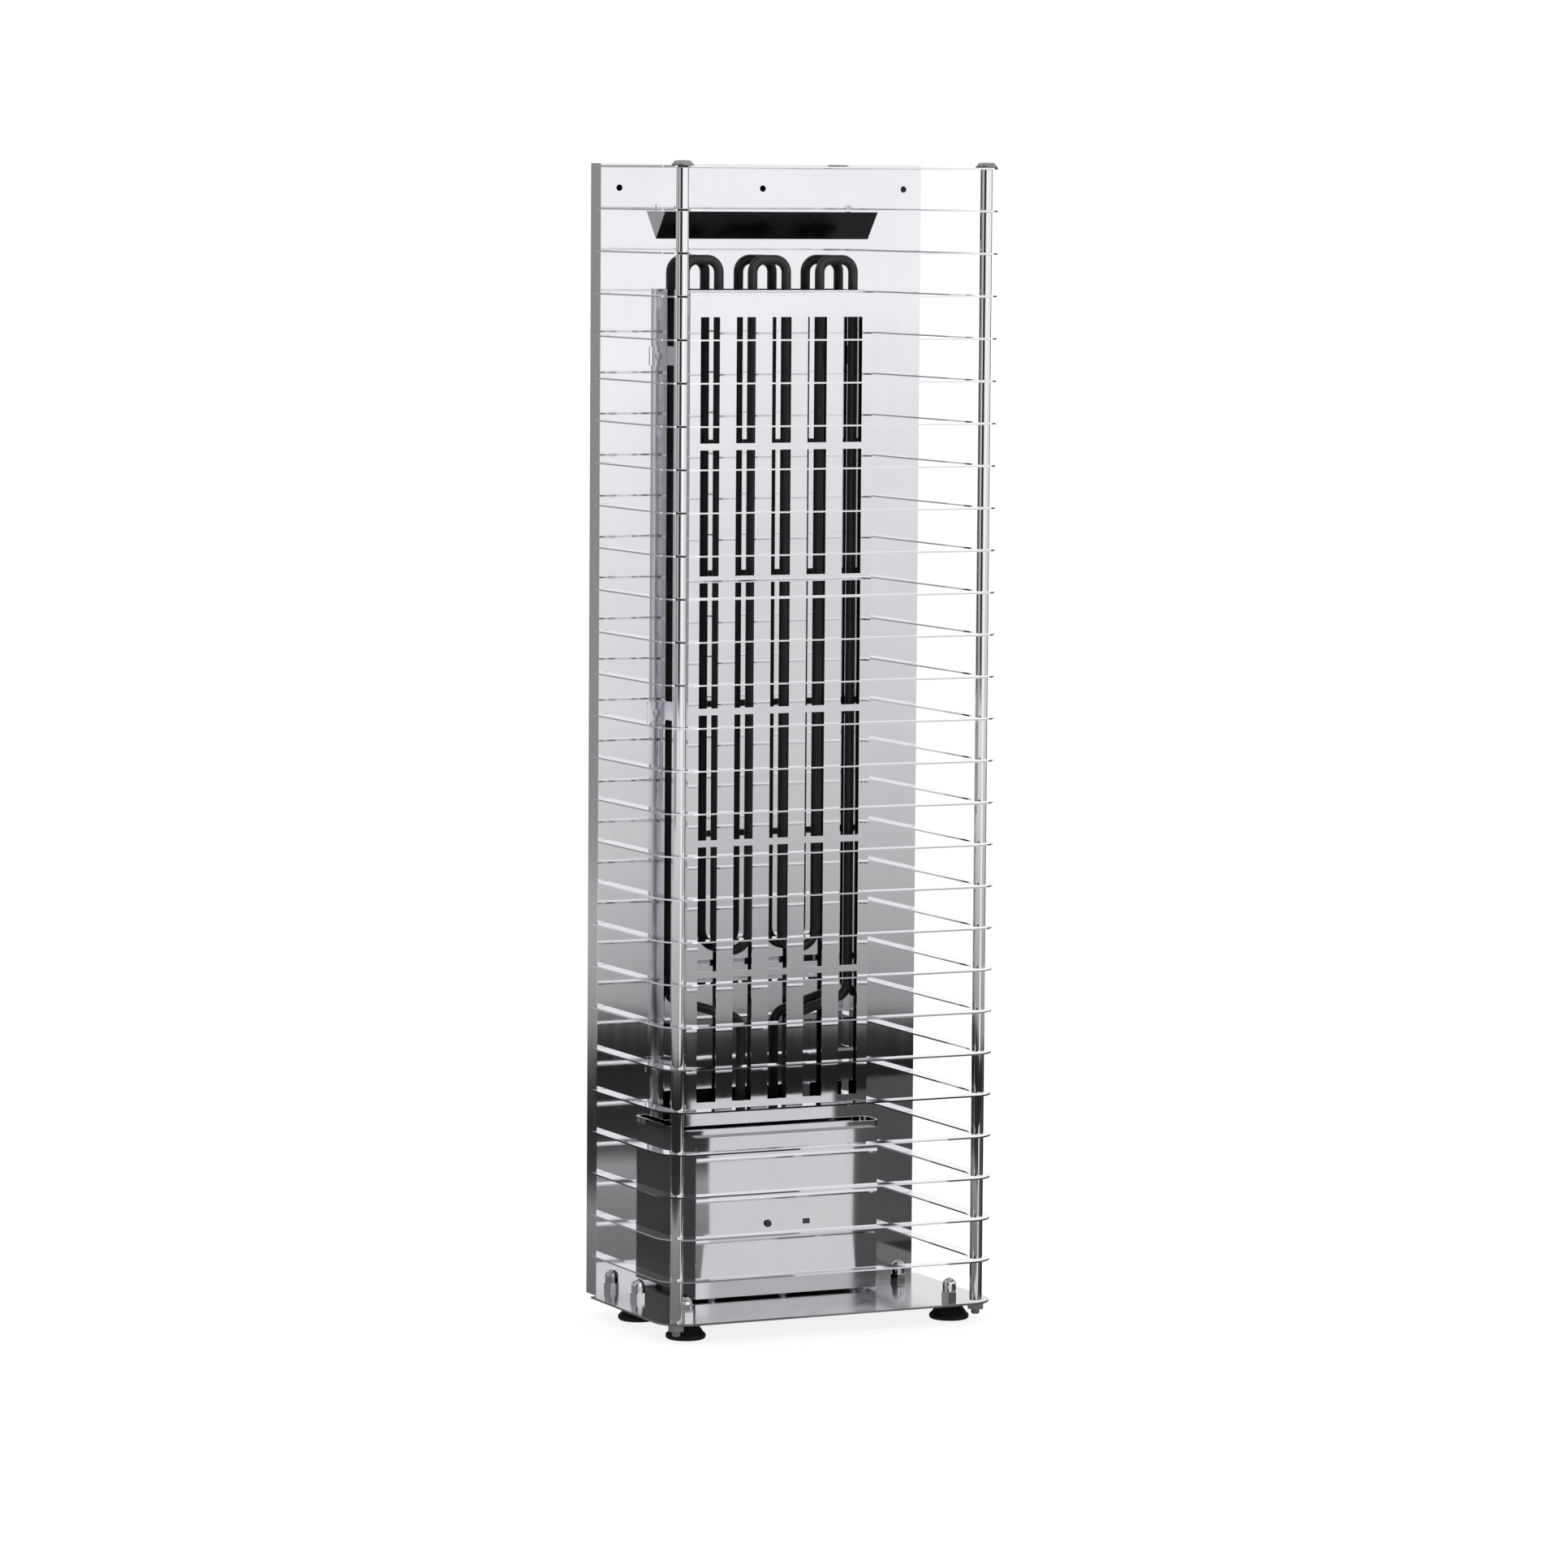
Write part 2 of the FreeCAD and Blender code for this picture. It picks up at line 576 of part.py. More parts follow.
chest = block("chest_outer", "-chest_half", "chest_half", "chest_front", "panel_y",
              "chest_bottom", "chest_top")
chest_inner = block("chest_inner", "-chest_half + sheet", "chest_half - sheet",
                    "chest_front - 1", "panel_y - sheet", "chest_bottom + sheet",
                    "chest_top - chest_roof")
screw_holes = [rod("chest_screw_hole_%d" % n, "2.1", "%d * cover_screw_x" % f, "cover_screw_y",
                   "chest_bottom - 1", "chest_bottom + 3") for n, f in enumerate((-1, 0, 1))]
keep(cut("connection_box", chest, chest_inner, *(roof_holes + screw_holes)))

COVER_LOW = "(chest_bottom - cover_gap - sheet)"
cover_face = block("cover_face", "-chest_half", "chest_half", "chest_front - sheet",
                   "chest_front", COVER_LOW, "chest_top - cover_gap")
cover_foot = block("cover_foot", "-chest_half", "chest_half", "chest_front - sheet",
                   "chest_front + cover_flange", COVER_LOW, "%s + sheet" % COVER_LOW)
cover_holes = [rod("cover_screw_hole_%d" % n, "2.2", "%d * cover_screw_x" % f, "cover_screw_y",
                   "0", "chest_bottom + 3") for n, f in enumerate((-1, 0, 1))]
cover_holes.append(pin_back("cover_button_hole", "3.6", "-feature_x", "feature_z", "-5", "10"))
cover_holes.append(block("cover_lens_hole", "feature_x - lens_width / 2 + 0.8",
                         "feature_x + lens_width / 2 - 0.8", "-5", "10",
                         "feature_z - lens_height / 2 + 0.6", "feature_z + lens_height / 2 - 0.6"))
keep(cut("box_cover", fuse("cover_sheet", cover_face, cover_foot), *cover_holes))
cover_screws = []
for number, factor in enumerate((-1, 0, 1)):
    x = "%d * cover_screw_x" % factor
    head = rod("cover_head_%d" % number, "3.5", x, "cover_screw_y", "%s - 2" % COVER_LOW,
               COVER_LOW)
    shank = rod("cover_shank_%d" % number, "1.9", x, "cover_screw_y", "%s - 1" % COVER_LOW,
                "chest_bottom + 8")
    cover_screws.append(fuse("cover_screw_%d" % number, head, shank))
keep(group("cover_screws", cover_screws))

# ---------------------------------------------------------------- inside and on the cover
terminal = block("terminal_base", "18", "84", "panel_y - sheet - 22", "panel_y - sheet",
                 "58", "84")
wells = []
for pole in range(6):
    x = "%g" % (24 + 10.8 * pole)
    wells.append(pin_back("terminal_well_%d" % pole, "3", x, "65", "panel_y - 30", "panel_y - 12"))
    wells.append(block("terminal_mouth_%d" % pole, "%s - 3.2" % x, "%s + 3.2" % x,
                       "panel_y - 20", "panel_y - 8", "76", "90"))
keep(cut("terminal_block", terminal, *wells))

limiter_body = block("limiter_body", "-feature_x - 14", "-feature_x + 14", "chest_front + 9",
                     "chest_front + 37", "feature_z - 18", "feature_z + 18")
limiter_neck = pin_back("limiter_neck", "6.5", "-feature_x", "feature_z", "chest_front",
                        "chest_front + 10")
limiter_bore = pin_back("limiter_bore", "3.4", "-feature_x", "feature_z", "chest_front - 1",
                        "chest_front + 13")
keep(cut("overheat_limiter", fuse("limiter_solid", limiter_body, limiter_neck), limiter_bore))
keep(pin_back("reset_button", "3", "-feature_x", "feature_z", "chest_front - 4.2",
              "chest_front + 9"))
lens_face = block("lens_face", "feature_x - lens_width / 2", "feature_x + lens_width / 2",
                  "chest_front - sheet - 1.2", "chest_front - sheet",
                  "feature_z - lens_height / 2", "feature_z + lens_height / 2")
lens_stem = block("lens_stem", "feature_x - lens_width / 2 + 1", "feature_x + lens_width / 2 - 1",
                  "chest_front - sheet - 0.5", "chest_front + 12",
                  "feature_z - lens_height / 2 + 0.8", "feature_z + lens_height / 2 - 0.8")
keep(fuse("indicator_lens", lens_face, lens_stem))

gland_hex = hexagon("gland_hex", "18", "gland_x", "gland_y", "plate_top - 5", "plate_top")
gland_dome = doc.addObject("Part::Cone", "gland_dome")
bind(gland_dome, Radius1="6.4", Radius2="8.6", Height="7")
place(gland_dome, "gland_x", "gland_y", "plate_top - 12")
gland_thread = rod("gland_thread", "7.9", "gland_x", "gland_y", "plate_top - 1", "plate_top + 11")
gland_lock = hexagon("gland_lock", "18", "gland_x", "gland_y", "plate_top + sheet",
                     "plate_top + sheet + 4")
gland_bore = rod("gland_bore", "4.6", "gland_x", "gland_y", "0", "plate_top + 20")
keep(cut("cable_gland", fuse("gland_solid", gland_hex, gland_dome, gland_thread, gland_lock),
         gland_bore))

# ---------------------------------------------------------------- levelling feet
foot_caps = []
for name, x, y in FEET:
    low = rod("pad_low_" + name, "pad_radius", x, y, "1.5", "5")
    sole = doc.addObject("Part::Cone", "pad_sole_" + name)
    bind(sole, Radius1="pad_radius - 2", Radius2="pad_radius", Height="1.5")
    place(sole, x, y, "0")
    dome = doc.addObject("Part::Cone", "pad_dome_" + name)
    bind(dome, Radius1="pad_radius", Radius2="12", Height="pad_height - 5")
    place(dome, x, y, "5")
    socket = rod("pad_socket_" + name, "stud_radius + 0.1", x, y, "5.9", "pad_height + 1")
    keep(cut("foot_pad_" + name, fuse("pad_solid_" + name, low, sole, dome), socket))
    stem = rod("stud_stem_" + name, "stud_radius", x, y, "6", "plate_top + 13.5")
    collar = hexagon("stud_collar_" + name, "13", x, y, "pad_height", "pad_height + 3.4")
    keep(fuse("foot_stud_" + name, stem, collar))
    cap_hex = hexagon("foot_cap_hex_" + name, "14", x, y, "plate_top", "plate_top + 6.5")
    cap_barrel = rod("foot_cap_barrel_" + name, "6.5", x, y, "plate_top + 6", "plate_top + 13")
    cap_crown = doc.addObject("Part::Sphere", "foot_cap_crown_" + name)
    bind(cap_crown, Radius="6.5")
    place(cap_crown, x, y, "plate_top + 13")
    cap_bore = rod("foot_cap_bore_" + name, "stud_radius + 0.4", x, y, "plate_top - 1",
                   "plate_top + 14.5")
    foot_caps.append(cut("foot_cap_" + name,
                         fuse("foot_cap_solid_" + name, cap_hex, cap_barrel, cap_crown), cap_bore))
keep(group("foot_cap_nuts", foot_caps))

# ---------------------------------------------------------------- check and export
doc.recompute()
for obj in doc.Objects:
    if "Invalid" in obj.State or "Error" in obj.State:
        raise RuntimeError("feature in error: %s %s" % (obj.Name, obj.State))
for obj in kept_parts:
    if obj.Shape.isNull() or not obj.Shape.isValid():
        raise RuntimeError("bad shape: " + obj.Label)
    obj.Shape.exportStep("parts/%s.step" % obj.Label)
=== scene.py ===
import math

import bmesh
import bpy
from mathutils import Matrix, Vector


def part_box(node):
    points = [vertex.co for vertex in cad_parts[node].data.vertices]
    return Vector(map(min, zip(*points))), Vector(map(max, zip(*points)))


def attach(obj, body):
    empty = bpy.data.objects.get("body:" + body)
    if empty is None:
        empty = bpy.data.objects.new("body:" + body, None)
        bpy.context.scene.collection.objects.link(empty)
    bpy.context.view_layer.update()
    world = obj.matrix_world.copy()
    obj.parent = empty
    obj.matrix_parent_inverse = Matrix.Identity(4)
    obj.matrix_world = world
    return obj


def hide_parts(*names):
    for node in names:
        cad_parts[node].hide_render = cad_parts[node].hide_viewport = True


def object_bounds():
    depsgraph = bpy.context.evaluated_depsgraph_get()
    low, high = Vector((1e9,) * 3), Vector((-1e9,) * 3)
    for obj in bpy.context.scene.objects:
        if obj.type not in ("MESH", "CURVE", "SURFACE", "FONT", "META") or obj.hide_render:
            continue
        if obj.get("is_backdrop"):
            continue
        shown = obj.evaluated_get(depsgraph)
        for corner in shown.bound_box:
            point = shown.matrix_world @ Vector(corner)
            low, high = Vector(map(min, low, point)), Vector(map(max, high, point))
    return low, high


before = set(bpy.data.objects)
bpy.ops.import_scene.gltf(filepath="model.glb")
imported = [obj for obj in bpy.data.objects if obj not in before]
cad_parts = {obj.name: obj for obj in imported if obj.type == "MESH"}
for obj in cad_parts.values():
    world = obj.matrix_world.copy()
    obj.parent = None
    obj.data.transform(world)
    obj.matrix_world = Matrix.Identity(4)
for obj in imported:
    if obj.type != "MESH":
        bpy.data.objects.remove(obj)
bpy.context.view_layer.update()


# ---------------------------------------------------------------- material helpers
class Finish:
    """A Principled material and short calls for the nodes that feed it."""

    def __init__(self, name, **sockets):
        self.mat = bpy.data.materials.new(name)
        self.mat.use_nodes = True
        self.tree = self.mat.node_tree
        self.shader = self.tree.nodes["Principled BSDF"]
        for socket, value in sockets.items():
            self.shader.inputs[socket.replace("_", " ")].default_value = value
        self.place = self.add("ShaderNodeTexCoord").outputs["Object"]

    def add(self, kind, **settings):
        node = self.tree.nodes.new(kind)
        for key, value in settings.items():
            setattr(node, key, value)
        return node

    def link(self, out, into):
        self.tree.links.new(out, into)

    def feed(self, socket, out):
        self.link(out, self.shader.inputs[socket])

    def stretched(self, scale):
        node = self.add("ShaderNodeMapping")
        node.inputs["Scale"].default_value = scale
        self.link(self.place, node.inputs["Vector"])
        return node.outputs["Vector"]

    def noise(self, scale, detail=3.0, rough=0.55, stretch=(1, 1, 1)):
        node = self.add("ShaderNodeTexNoise")
        node.inputs["Scale"].default_value = scale
        node.inputs["Detail"].default_value = detail
        node.inputs["Roughness"].default_value = rough
        self.link(self.stretched(stretch), node.inputs["Vector"])
        return node.outputs["Fac"]

    def ramp(self, value, stops):
        node = self.add("ShaderNodeValToRGB")
        ramp = node.color_ramp
        while len(ramp.elements) < len(stops):
            ramp.elements.new(0.5)
        for element, (at, colour) in zip(ramp.elements, stops):
            element.position = at
            if isinstance(colour, (int, float)):
                colour = (colour,) * 3
            element.color = (*colour, 1)
        self.link(value, node.inputs["Fac"])
        return node.outputs["Color"]

    def product(self, a, b):
        node = self.add("ShaderNodeMath", operation="MULTIPLY")
        self.link(a, node.inputs[0])
        self.link(b, node.inputs[1])
        return node.outputs["Value"]

    def remap(self, value, low, high, to_low=0.0, to_high=1.0):
        node = self.add("ShaderNodeMapRange")
        for key, number in (("From Min", low), ("From Max", high), ("To Min", to_low),
                            ("To Max", to_high)):
            node.inputs[key].default_value = number
        self.link(value, node.inputs["Value"])
        return node.outputs["Result"]

    def blend(self, factor, a, b):
        node = self.add("ShaderNodeMix", data_type="RGBA")
        self.link(factor, node.inputs["Factor"])
        self.link(a, node.inputs["A"])
        self.link(b, node.inputs["B"])
        return node.outputs["Result"]

    def height(self, value, depth):
        node = self.add("ShaderNodeBump")
        node.inputs["Strength"].default_value = 1.0
        node.inputs["Distance"].default_value = depth
        self.link(value, node.inputs["Height"])
        return node.outputs["Normal"]

    def facing(self, which):
        """One part of the surface normal, from -1 to 1."""
        node = self.add("ShaderNodeSeparateXYZ")
        self.link(self.add("ShaderNodeNewGeometry").outputs["Normal"], node.inputs["Vector"])
        return node.outputs[which]


def mirror_steel(name, painted_shade_level=1.0, gloss=(0.02, 0.07), wave=0.00014):
    """Polished sheet: faint cloudiness, upright wipe marks and a slight waviness."""
    m = Finish(name, Metallic=1.0)
    cloud = m.noise(7.0, 4)
    wipe = m.noise(16.0, 5, stretch=(5, 5, 0.35))
    dull = m.ramp(cloud, [(0.3, [painted_shade_level * c for c in (0.75, 0.76, 0.80)]),
                          (0.7, [painted_shade_level * c for c in (0.80, 0.805, 0.83)])])
    clean = m.ramp(cloud, [(0.3, [painted_shade_level * c for c in (0.79, 0.80, 0.83)]),
                           (0.7, [painted_shade_level * c for c in (0.83, 0.835, 0.85)])])
    m.feed("Base Color", m.blend(wipe, dull, clean))
    m.feed("Roughness", m.remap(m.product(wipe, cloud), 0.1, 0.45, *gloss))
    m.feed("Normal", m.height(m.noise(9.0, 1.5, 0.4), wave))
    return m


def steel_with_painted_dark_underside():
    """Polished sheet with a painted dark reflection on its downward-facing side, standing for the dark
    surroundings it mirrors.
    """
    m = mirror_steel("deflector_painted_dark_steel")
    bright = m.shader.inputs["Base Color"].links[0].from_socket
    # Painted dark reflection: faces turning downward get a near-black mottled colour in place of what they
    # would mirror.
    under = m.remap(m.facing("Z"), -0.55, -0.25, 1.0, 0.0)
    mottle = m.noise(26.0, 5)
    painted_dark_reflection = m.ramp(mottle, [(0.3, (0.022, 0.022, 0.025)), (0.7, (0.036, 0.034, 0.034))])
    m.feed("Base Color", m.blend(under, bright, painted_dark_reflection))
    m.feed("Roughness", m.remap(m.product(under, mottle), 0.0, 0.6, 0.04, 0.32))
    return m


def brushed_steel(name, level, gloss, along=(40, 40, 1.5)):
    """Satin sheet with fine grain lines running one way."""
    m = Finish(name, Metallic=1.0)
    lines = m.noise(30.0, 6, 0.7, stretch=along)
    cloud = m.noise(5.0, 3)
    dull = m.ramp(lines, [(0.3, level * 0.88), (0.7, level)])
    clean = m.ramp(lines, [(0.3, level * 0.95), (0.7, level * 1.06)])
    m.feed("Base Color", m.blend(cloud, dull, clean))
    m.feed("Roughness", m.remap(lines, 0.3, 0.7, *gloss))
    m.feed("Normal", m.height(lines, 0.00002))
    return m


def grained(name, low, high, metal, gloss, scale=60.0, relief=0.0002, specular=0.5):
    """Two close shades in a fine grain, with a matching roughness and a little relief."""
    m = Finish(name, Metallic=metal, Specular_IOR_Level=specular)
    grain = m.noise(scale, 4)
    m.feed("Base Color", m.ramp(grain, [(0.3, low), (0.7, high)]))
    m.feed("Roughness", m.remap(m.noise(scale * 2.3, 3), 0.3, 0.7, *gloss))
    m.feed("Normal", m.height(m.noise(scale * 12, 2), relief))
    return m


def drawn_tube():
    """Bright-drawn tube: faint draw lines along its length."""
    m = Finish("bright_tube", Metallic=1.0)
    lines = m.noise(120.0, 3, stretch=(1, 1, 0.01))
    m.feed("Base Color", m.ramp(lines, [(0.3, (0.76, 0.765, 0.78)), (0.7, (0.84, 0.845, 0.85))]))
    m.feed("Roughness", m.remap(m.noise(9.0, 3), 0.3, 0.7, 0.03, 0.06))
    return m


def sheath():
    """Oxidised element tube: dark, with a thin scale that is rougher in patches."""
    m = Finish("element_sheath", Metallic=0.6)
    patch = m.noise(35.0, 5, 0.6)
    speck = m.noise(700.0, 2)
    dark = m.ramp(speck, [(0.3, (0.022, 0.022, 0.024)), (0.7, (0.036, 0.035, 0.036))])
    worn = m.ramp(speck, [(0.3, (0.036, 0.034, 0.034)), (0.7, (0.058, 0.054, 0.052))])
    m.feed("Base Color", m.blend(patch, dark, worn))
    m.feed("Roughness", m.remap(patch, 0.3, 0.7, 0.26, 0.42))
    m.feed("Normal", m.height(speck, 0.00002))
    return m


STEEL = mirror_steel("polished_steel")
# Painted shade: the base plate is the polished steel darkened to 0.64, standing for the darker reflections
# it shows.
PLATE = mirror_steel("plate_steel_painted_shade", painted_shade_level=0.64, gloss=(0.10, 0.18))
DEFLECTOR = steel_with_painted_dark_underside()
CASING = brushed_steel("casing_satin", 0.66, (0.10, 0.20))
# Painted shade: the connection box is the casing's satin steel darkened to 0.16, standing for the dark
# reflections it shows.
BOX = brushed_steel("box_satin_painted_dark", 0.16, (0.26, 0.38), along=(1.5, 40, 40))
TUBE = drawn_tube()
SHEATH = sheath()
FASTENER = grained("fastener_steel", (0.55, 0.55, 0.57), (0.68, 0.68, 0.69), metal=1.0,
                   gloss=(0.14, 0.24), scale=120, relief=0.00003)
# Painted shade: the post caps are the fastener steel darkened to about 0.2 to 0.3, standing for the dark
# reflections they show.
CAP_STEEL = grained("cap_steel_painted_dark", (0.20, 0.20, 0.21), (0.30, 0.30, 0.31), metal=1.0,
                    gloss=(0.10, 0.20), scale=90, relief=0.00002)
CERAMIC = grained("terminal_ceramic", (0.80, 0.78, 0.72), (0.86, 0.84, 0.79), metal=0.0,
                  gloss=(0.36, 0.54))
BLACK = grained("moulded_black", (0.018, 0.018, 0.019), (0.032, 0.032, 0.033), metal=0.0,
                gloss=(0.32, 0.48), scale=300, relief=0.00003)
LENS = grained("lens_plastic", (0.020, 0.020, 0.024), (0.035, 0.034, 0.040), metal=0.0,
               gloss=(0.08, 0.14), scale=150, relief=0.00002)
RUBBER = grained("foot_rubber", (0.004, 0.004, 0.004), (0.009, 0.009, 0.009), metal=0.0,
                 gloss=(0.62, 0.80), scale=260, relief=0.00005, specular=0.25)

BY_NAME = {
    "base_plate": PLATE, "deflector": DEFLECTOR, "rear_casing": CASING, "connection_box": BOX,
    "post_rods": FASTENER, "spacer_tubes": TUBE, "post_bottom_nuts": FASTENER,
    "heating_element": SHEATH, "element_bushings": FASTENER, "terminal_block": CERAMIC,
    "overheat_limiter": BLACK, "reset_button": BLACK, "indicator_lens": LENS,
    "cable_gland": BLACK, "foot_cap_nuts": TUBE,
}
for name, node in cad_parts.items():
    finish = FASTENER if name.startswith("foot_stud") else BY_NAME.get(name, STEEL)
    node.data.materials.clear()
    node.data.materials.append(finish.mat)


# ---------------------------------------------------------------- turned and threaded pieces
MM = 0.001
UP = Matrix.Identity(3)
FRONTWARD = Matrix.Rotation(math.radians(90), 3, "X")
DOWNWARD = Matrix.Rotation(math.radians(180), 3, "X")
RECESS_DEPTH, RECESS_REACH, RECESS_HALF_WIDTH = 0.7, 2.3, 0.5


def revolve(bm, profile, centre, turn=UP, steps=48, recess=0.0):
    """Rings of (radius, height) in mm round an axis; a recess sinks a cross into the closed end."""
    rings = []
    for radius, height in profile:
        ring = []
        for k in range(steps):
            angle = 2 * math.pi * k / steps
            x, y = radius * math.cos(angle), radius * math.sin(angle)
            in_cross = min(abs(x), abs(y)) < RECESS_HALF_WIDTH and radius < RECESS_REACH
            sunk = recess if recess and in_cross else 0.0
            ring.append(bm.verts.new(Vector(centre) + turn @ Vector((x, y, height - sunk)) * MM))
        rings.append(ring)
    for low, high in zip(rings, rings[1:]):
        for k in range(steps):
            bm.faces.new((low[k], low[(k + 1) % steps], high[(k + 1) % steps], high[k]))
    bm.faces.new(reversed(rings[0]))
    bm.faces.new(rings[-1])


def thread(bm, centre, radius, low, high, pitch=1.25, steps=32):
    """A helical ridge round an upright rod; sizes in mm."""
    root, crest, half_width = radius - 0.1, radius + 0.32, 0.55
    turns = (high - low) / pitch
    previous = None
    for k in range(int(turns * steps) + 1):
        angle = 2 * math.pi * k / steps
        z = low + pitch * k / steps
        out = Vector((math.cos(angle), math.sin(angle), 0))
        ring = [bm.verts.new(Vector(centre) + (out * r + Vector((0, 0, z + dz))) * MM)
                for r, dz in ((root, -half_width), (crest, 0.0), (root, half_width))]
        if previous:
            for a in range(2):
                bm.faces.new((previous[a], ring[a], ring[a + 1], previous[a + 1]))
        previous = ring


def pan_head(bm, centre, radius, height, turn):
    """Domed screw head with a cross recess, standing on its under face."""
    rim = [(radius * r, height * h) for r, h in (
        (0.92, 0.0), (1.0, 0.08), (1.0, 0.3), (0.95, 0.58), (0.84, 0.8), (0.7, 0.92))]
    crown = 2.4
    dome = [(r, height * (0.95 + 0.05 * (1 - r / crown))) for r in (crown, 2.2, 1.7, 1.2, 0.8, 0.5, 0.2)]
    revolve(bm, rim + dome, centre, turn, steps=64, recess=RECESS_DEPTH)


SHARP_EDGE = math.radians(35)


def piece(name, bm, finish, body, replaced):
    """Turns the mesh into an object that rides on a body and stands for a CAD node."""
    bmesh.ops.recalc_face_normals(bm, faces=bm.faces)
    mesh = bpy.data.meshes.new(name)
    bm.to_mesh(mesh)
    bm.free()
    mesh.materials.append(finish.mat)
    obj = bpy.data.objects.new(name, mesh)
    bpy.context.collection.objects.link(obj)
    mesh.shade_smooth()
    mesh.set_sharp_from_angle(angle=SHARP_EDGE)
    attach(obj, body)
    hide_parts(replaced)
    return obj


def mm_heights(node):
    """Lowest and highest z of a CAD node, in mm."""
    return [corner[2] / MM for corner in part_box(node)]


# ---------------------------------------------------------------- levelling pads
PAD = [(0.5, 0.1), (14.0, 0.1), (15.6, 0.0), (17.2, 0.25), (18.5, 1.2), (19.0, 2.4), (19.0, 4.0),
       (18.8, 4.7), (18.2, 5.4), (17.0, 6.4), (16.7, 6.4), (16.4, 7.1), (15.2, 9.0), (14.9, 9.0),
       (14.6, 9.7), (13.2, 12.0), (12.4, 13.2), (11.6, 13.8), (10.6, 14.0), (5.0, 14.0), (4.3, 13.4)]
for corner in ("front_left", "front_right", "rear_left", "rear_right"):
    low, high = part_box("foot_pad_" + corner)
    bm = bmesh.new()
    revolve(bm, PAD, ((low[0] + high[0]) / 2, (low[1] + high[1]) / 2, low[2]), steps=72)
    piece("levelling_pad_" + corner, bm, RUBBER, "foot_" + corner,
          "foot_pad_" + corner)

# ---------------------------------------------------------------- posts: caps, rods and spacer tubes
CAP_RADIUS = 10.5
CAP = [(4.3, 0.0), (9.9, 0.0), (10.35, 0.25), (CAP_RADIUS, 0.8), (10.45, 1.5), (10.1, 1.9), (9.5, 2.0),
       (9.2, 2.15), (8.8, 2.9), (8.3, 3.8), (7.7, 4.5), (6.9, 4.85), (5.5, 4.97), (2.5, 5.0), (0.4, 5.0)]
TUBE_END = ((4.5, 0.0), (5.75, 0.0), (5.93, 0.1), (6.0, 0.35), (6.0, 0.7))
ROD_RADIUS = 4.0
ROD_END = ((3.0, 0.0), (3.7, 0.6), (ROD_RADIUS, 0.9), (ROD_RADIUS, 1.2))
THREAD_CLEAR_LOW, THREAD_CLEAR_NUT = 1.4, 0.3

low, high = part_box("post_cap_nuts")
posts = (low[0] + CAP_RADIUS * MM, high[0] - CAP_RADIUS * MM)
post_y = (low[1] + high[1]) / 2
bm = bmesh.new()
for x in posts:
    revolve(bm, CAP, (x, post_y, low[2]), steps=64)
piece("post_caps", bm, CAP_STEEL, "frame", "post_cap_nuts")

rod_low, rod_high = mm_heights("post_rods")
nut_low = mm_heights("post_bottom_nuts")[0]
plate_top = mm_heights("base_plate")[1]
hoops = [mm_heights("hoop_%02d" % k) for k in range(1, 28)]
for side, x in zip(("left", "right"), posts):
    axis_foot = (x, post_y, 0)
    bm = bmesh.new()
    tube_low = plate_top
    for hoop_low, hoop_high in hoops:
        profile = [(r, tube_low + z) for r, z in TUBE_END]
        profile += [(r, hoop_low - z) for r, z in reversed(TUBE_END)]
        revolve(bm, profile, axis_foot, steps=56)
        tube_low = hoop_high
    tubes = piece("post_tubes_" + side, bm, TUBE, "frame", "spacer_tubes")
    bm = bmesh.new()
    profile = [(r, rod_low + z) for r, z in ROD_END] + [(ROD_RADIUS, rod_high)]
    revolve(bm, profile, axis_foot, steps=40)
    thread(bm, axis_foot, ROD_RADIUS, rod_low + THREAD_CLEAR_LOW, nut_low - THREAD_CLEAR_NUT)
    stem = piece("post_rod_" + side, bm, FASTENER, "frame", "post_rods")
    if side == "right":
        tubes.visible_glossy = False
        stem.visible_glossy = False

# ---------------------------------------------------------------- screw heads
GUARD_SCREW, DEFLECTOR_SCREW, COVER_SCREW = 3.8, 3.6, 3.5
PANEL_SCREW_HEIGHT, COVER_SCREW_HEIGHT = 2.2, 2.0
SHEET = 1.2 * MM
ear_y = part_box("back_panel")[0][1] - SHEET

low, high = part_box("guard_screws")
inset = GUARD_SCREW * MM
bm = bmesh.new()
for z in (low[2] + inset, (low[2] + high[2]) / 2, high[2] - inset):
    for x in (low[0] + inset, high[0] - inset):
        pan_head(bm, (x, ear_y, z), GUARD_SCREW, PANEL_SCREW_HEIGHT, FRONTWARD)
piece("guard_screw_heads", bm, FASTENER, "frame", "guard_screws")

low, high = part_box("deflector_screws")
inset = DEFLECTOR_SCREW * MM
bm = bmesh.new()
for x in (low[0] + inset, high[0] - inset):
    pan_head(bm, (x, ear_y, (low[2] + high[2]) / 2), DEFLECTOR_SCREW, PANEL_SCREW_HEIGHT, FRONTWARD)
piece("deflector_screw_heads", bm, FASTENER, "frame", "deflector_screws")

low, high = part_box("cover_screws")
inset = COVER_SCREW * MM
cover_z = low[2] + COVER_SCREW_HEIGHT * MM
bm = bmesh.new()
for x in (low[0] + inset, (low[0] + high[0]) / 2, high[0] - inset):
    pan_head(bm, (x, (low[1] + high[1]) / 2, cover_z), COVER_SCREW, COVER_SCREW_HEIGHT, DOWNWARD)
piece("cover_screw_heads", bm, FASTENER, "frame", "cover_screws")


